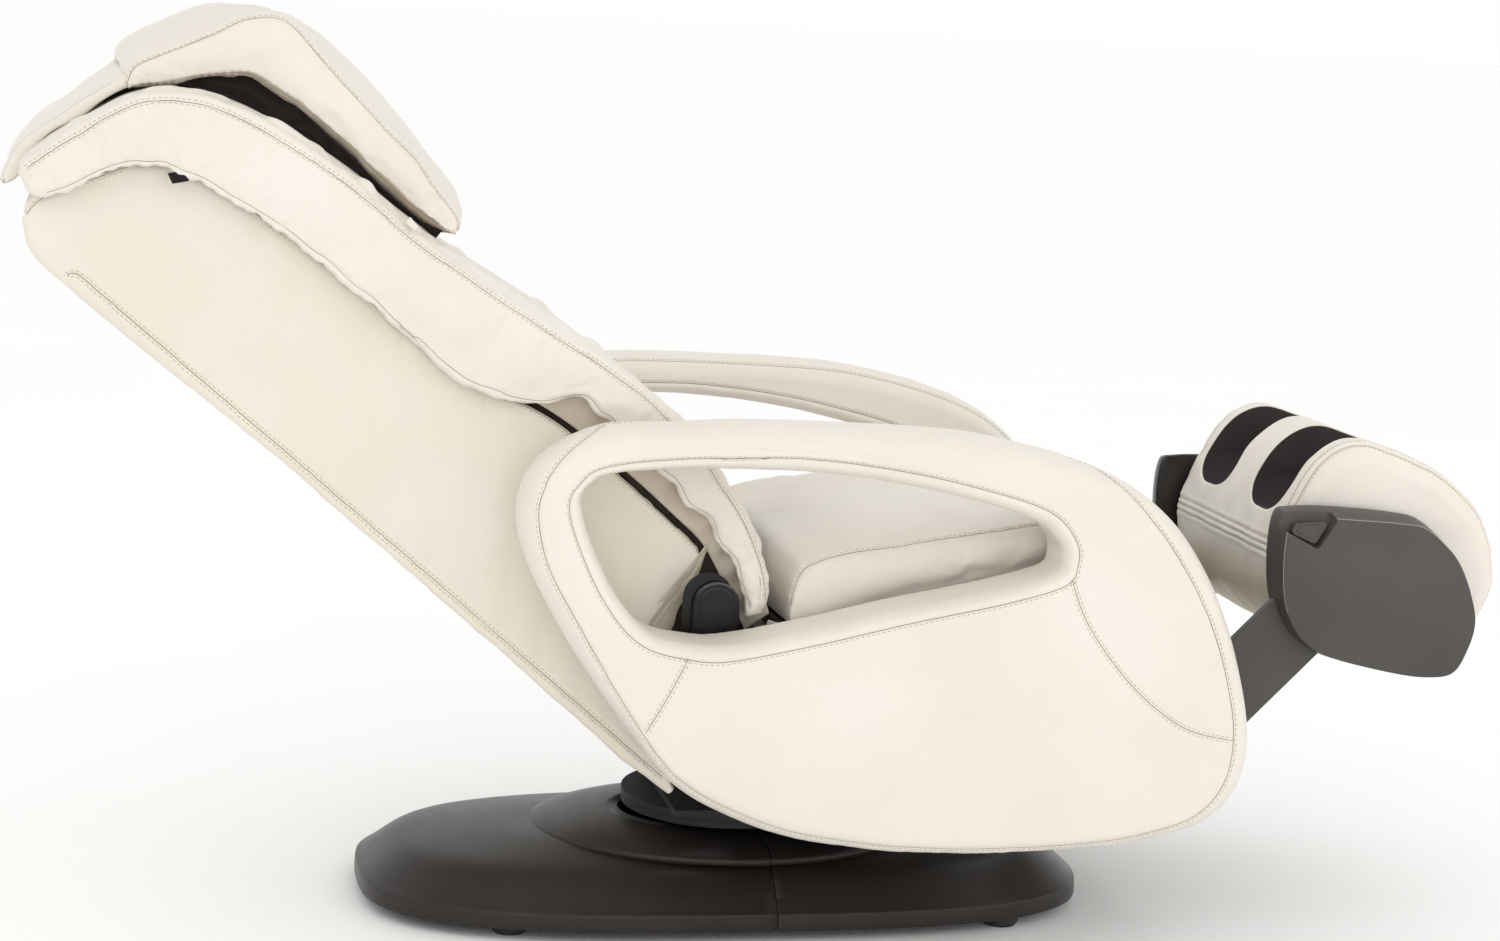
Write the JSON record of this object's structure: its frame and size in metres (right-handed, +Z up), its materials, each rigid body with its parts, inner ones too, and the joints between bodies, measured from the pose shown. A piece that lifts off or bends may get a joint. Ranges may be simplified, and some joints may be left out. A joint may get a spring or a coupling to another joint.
{
  "type": "massage chair",
  "caption": "Reclining upholstered massage chair on a swivel base, with padded arm pods, a roller carriage in the back, a head pillow and a raised turning calf massager.",
  "frame": {"origin": "on the floor under the middle of the chair's bounding box, fully reclined", "axes": "+X towards the feet, +Y to the sitter's left, +Z up"},
  "size_m": [1.7857, 0.704, 1.0588],
  "materials": {
    "cream_leather": "semi-matte, fine grain",
    "shell_leather": "semi-matte, fine grain",
    "black_fabric": "matte stretch knit",
    "base_plastic": "fine matte texture",
    "plate_plastic": "fine matte texture",
    "gloss_black": "gloss",
    "button_grey": "matte",
    "black_steel": "satin powder coat",
    "bright_steel": "turned",
    "motor_grey": "satin",
    "roller_plastic": "smooth",
    "foot_rubber": "matte",
    "ply": "sanded plywood"
  },
  "bodies": {
    "base": {"base_frame": "black_steel", "base_pedestal": "black_steel", "base_cover_rear": "base_plastic", "base_cover_front": "base_plastic", "feet": "foot_rubber", "power_module": "motor_grey", "mains_inlet": "gloss_black", "switch_housing": "gloss_black", "bearing_lower_ring": "black_steel"},
    "power_switch": {"power_switch": "gloss_black"},
    "seat": {"bearing_upper_ring": "black_steel", "swivel_plate": "black_steel", "seat_frame": "black_steel", "seat_rail_right": "black_steel", "seat_rail_left": "black_steel", "back_hinge_pins": "bright_steel", "leg_pivot_pins": "bright_steel", "pod_brackets": "black_steel", "seat_pan": "ply", "seat_cushion": "cream_leather", "arm_pod_right": "cream_leather", "arm_pod_left": "cream_leather", "hinge_cover_right": "gloss_black", "hinge_cover_left": "gloss_black", "control_panel": "gloss_black", "recline_actuator": "motor_grey"},
    "button_power": {"button_power": "button_grey"},
    "button_program": {"button_program": "button_grey"},
    "button_recline": {"button_recline": "button_grey"},
    "button_raise": {"button_raise": "button_grey"},
    "button_foot": {"button_foot": "button_grey"},
    "recline_rod": {"recline_rod": "bright_steel"},
    "back": {"back_frame": "black_steel", "back_shell": "shell_leather", "back_pad_right": "cream_leather", "back_pad_left": "cream_leather", "back_center_panel": "black_fabric", "guide_rails": "bright_steel", "lift_motor": "motor_grey", "pillow_flap": "cream_leather"},
    "lead_screw": {"lead_screw": "bright_steel"},
    "carriage": {"massage_carriage": "motor_grey", "kneading_motor": "motor_grey"},
    "roller_arms": {"roller_arms": "roller_plastic"},
    "upper_rollers": {"upper_rollers": "roller_plastic"},
    "lower_rollers": {"lower_rollers": "roller_plastic"},
    "pillow": {"head_pillow": "cream_leather"},
    "leg_frame": {"leg_swing_arms": "black_steel"},
    "leg_links": {"leg_link_rods": "black_steel"},
    "leg_carriage": {"leg_slide_bars": "black_steel", "side_plate_right": "plate_plastic", "side_plate_left": "plate_plastic"},
    "release_right": {"release_button_right": "button_grey"},
    "release_left": {"release_button_left": "button_grey"},
    "massager": {"calf_massager": "cream_leather", "well_liner_right": "black_fabric", "well_liner_left": "black_fabric", "massager_axle": "bright_steel", "massager_motor": "motor_grey"}
  },
  "joints": [
    {"name": "swivel", "type": "hinge", "parent": "base", "child": "seat", "pos_m": [-0.022, 0, 0.122], "axis": [0, 0, 1], "range_deg": [-60, 60]},
    {"name": "power_rocker", "type": "hinge", "parent": "base", "child": "power_switch", "pos_m": [-0.092, 0.212, 0.031], "axis": [1, 0, 0], "range_deg": [0, 16]},
    {"name": "back_recline", "type": "hinge", "parent": "seat", "child": "back", "pos_m": [-0.095, 0, 0.395], "axis": [0, 1, 0], "range_deg": [0, 30]},
    {"name": "recline_rod_extend", "type": "slide", "parent": "seat", "child": "recline_rod", "axis": [-1, 0, 0], "range_m": [0, 0.0778]},
    {"name": "leg_lift", "type": "hinge", "parent": "seat", "child": "leg_frame", "pos_m": [0.395, 0, 0.43], "axis": [0, 1, 0], "range_deg": [0, 45]},
    {"name": "leg_link_swing", "type": "hinge", "parent": "leg_frame", "child": "leg_links", "pos_m": [0.43382, 0, 0.33627], "axis": [0, 1, 0], "range_deg": [-45, 0]},
    {"name": "carriage_lift", "type": "slide", "parent": "back", "child": "carriage", "axis": [-0.766, 0, 0.6428], "range_m": [-0.08, 0.33]},
    {"name": "lead_screw_spin", "type": "hinge", "parent": "back", "child": "lead_screw", "pos_m": [-0.36467, 0, 0.54034], "axis": [-0.766, 0, 0.6428], "continuous": true},
    {"name": "roller_arm_rock", "type": "hinge", "parent": "carriage", "child": "roller_arms", "pos_m": [-0.34667, 0, 0.56179], "axis": [0, 1, 0], "range_deg": [-10, 10]},
    {"name": "upper_roller_spin", "type": "hinge", "parent": "roller_arms", "child": "upper_rollers", "pos_m": [-0.36454, 0, 0.6525], "axis": [0, 1, 0], "continuous": true},
    {"name": "lower_roller_spin", "type": "hinge", "parent": "roller_arms", "child": "lower_rollers", "pos_m": [-0.25423, 0, 0.55994], "axis": [0, 1, 0], "continuous": true},
    {"name": "pillow_flip", "type": "hinge", "parent": "back", "child": "pillow", "pos_m": [-0.78056, 0, 0.98591], "axis": [0, -1, 0], "range_deg": [0, 110]},
    {"name": "leg_extend", "type": "slide", "parent": "leg_frame", "child": "leg_carriage", "axis": [-0.7071, 0, -0.7071], "range_m": [0, 0.1]},
    {"name": "calf_turn", "type": "hinge", "parent": "leg_carriage", "child": "massager", "pos_m": [0.74, 0, 0.44], "axis": [0, 1, 0], "range_deg": [0, 180]},
    {"name": "release_press_right", "type": "slide", "parent": "leg_carriage", "child": "release_right", "axis": [0, 1, 0], "range_m": [0, 0.003], "stiffness_N_per_m": 300, "springref_m": -0.003},
    {"name": "release_press_left", "type": "slide", "parent": "leg_carriage", "child": "release_left", "axis": [0, -1, 0], "range_m": [0, 0.003], "stiffness_N_per_m": 300, "springref_m": -0.003},
    {"name": "press_power", "type": "slide", "parent": "seat", "child": "button_power", "axis": [0, -1, 0], "range_m": [0, 0.0012], "stiffness_N_per_m": 150, "springref_m": -0.002},
    {"name": "press_program", "type": "slide", "parent": "seat", "child": "button_program", "axis": [0, -1, 0], "range_m": [0, 0.0012], "stiffness_N_per_m": 150, "springref_m": -0.002},
    {"name": "press_recline", "type": "slide", "parent": "seat", "child": "button_recline", "axis": [0, -1, 0], "range_m": [0, 0.0012], "stiffness_N_per_m": 150, "springref_m": -0.002},
    {"name": "press_raise", "type": "slide", "parent": "seat", "child": "button_raise", "axis": [0, -1, 0], "range_m": [0, 0.0012], "stiffness_N_per_m": 150, "springref_m": -0.002},
    {"name": "press_foot", "type": "slide", "parent": "seat", "child": "button_foot", "axis": [0, -1, 0], "range_m": [0, 0.0012], "stiffness_N_per_m": 150, "springref_m": -0.002}
  ],
  "couplings": [
    {"joint": "leg_lift", "follows": "back_recline", "ratio": 1.5},
    {"joint": "leg_link_swing", "follows": "back_recline", "ratio": -1.5},
    {"joint": "recline_rod_extend", "follows": "back_recline", "m_per_rad": 0.14829},
    {"joint": "lead_screw_spin", "follows": "carriage_lift", "rad_per_m": 314.16}
  ]
}
